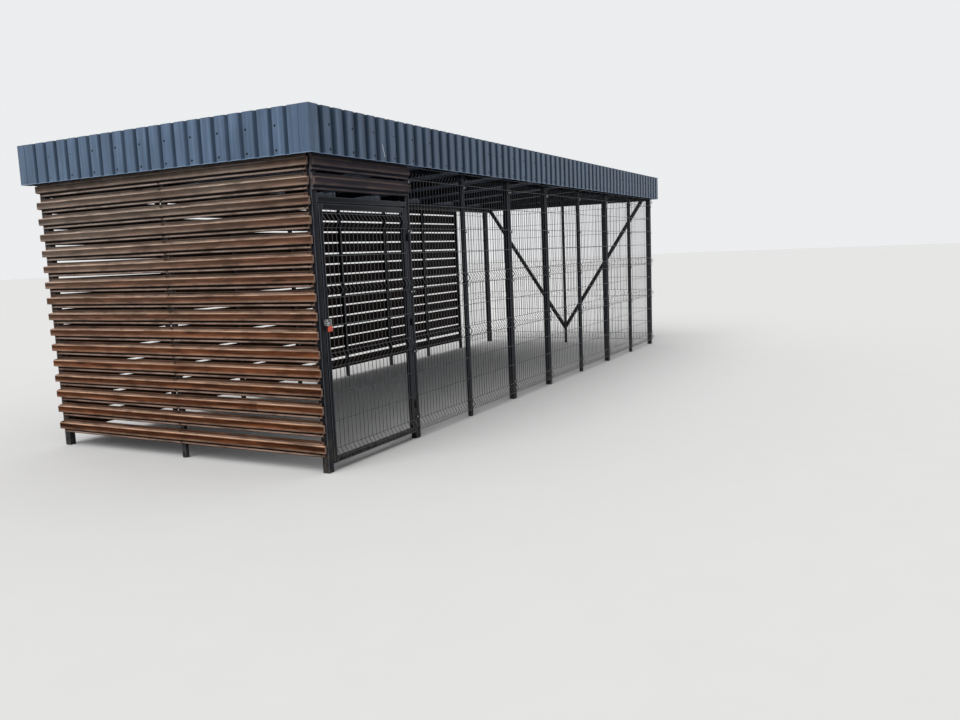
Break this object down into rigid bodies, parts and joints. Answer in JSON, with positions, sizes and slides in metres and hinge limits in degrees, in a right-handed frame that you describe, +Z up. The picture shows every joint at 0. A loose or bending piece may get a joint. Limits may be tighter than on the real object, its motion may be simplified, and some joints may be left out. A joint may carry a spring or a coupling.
{
  "type": "bicycle shelter",
  "caption": "Long bicycle shelter: steel posts, slatted timber walls, welded mesh panels, a ribbed sheet fascia round a lean-to roof, and a hinged mesh gate with a padlock.",
  "frame": {"origin": "on the ground plane, at the middle of the shelter's overall length and depth", "axes": "+X along the front towards the open mesh end, front with the gate facing -Y, +Z up"},
  "size_m": [8.47, 3.13, 2.6],
  "materials": {
    "black_steel": "satin black powder coat",
    "coated_mesh": "satin black coated wire",
    "slate_sheet": "satin dark blue-grey coated sheet",
    "roof_steel": "satin dark grey coated sheet",
    "backing_timber": "weathered brown stain",
    "strip_timber": "weathered red-brown stain",
    "zinc_steel": "dull zinc plate",
    "lock_case": "orange-red enamel",
    "bright_steel": "hardened plated steel"
  },
  "bodies": {
    "shelter": {"latch_post": "black_steel", "hinge_post": "black_steel", "front_posts": "black_steel", "rear_posts": "black_steel", "middle_posts": "black_steel", "front_beam": "black_steel", "rear_beam": "black_steel", "tie_beams": "black_steel", "roof_joists": "black_steel", "roof_sheet": "roof_steel", "fascia_rails": "black_steel", "front_fascia": "slate_sheet", "rear_fascia": "slate_sheet", "left_fascia": "slate_sheet", "right_fascia": "slate_sheet", "corner_flashings": "slate_sheet", "left_boards": "backing_timber", "left_strips": "strip_timber", "rear_boards": "backing_timber", "rear_strips": "strip_timber", "gate_head_boards": "backing_timber", "gate_head_strips": "strip_timber", "gate_head_rail": "black_steel", "front_mesh_1": "coated_mesh", "front_mesh_2": "coated_mesh", "front_mesh_3": "coated_mesh", "front_mesh_4": "coated_mesh", "front_mesh_5": "coated_mesh", "front_mesh_6": "coated_mesh", "front_mesh_7": "coated_mesh", "right_mesh_front": "coated_mesh", "right_mesh_rear": "coated_mesh", "rear_mesh": "coated_mesh", "mesh_clamps": "black_steel", "front_brace": "black_steel", "rear_brace": "black_steel", "post_hinges": "black_steel", "latch_keeper": "zinc_steel"},
    "gate": {"gate_stiles": "black_steel", "gate_rails": "black_steel", "gate_mesh": "coated_mesh", "gate_hinges": "black_steel", "gate_hasp": "zinc_steel", "padlock_case": "lock_case", "padlock_shackle": "bright_steel"}
  },
  "joints": [
    {"name": "gate_hinge", "type": "hinge", "parent": "shelter", "child": "gate", "pos_m": [-2.945, -1.484, 0.3], "axis": [0, 0, 1], "range_deg": [0, 90]}
  ]
}
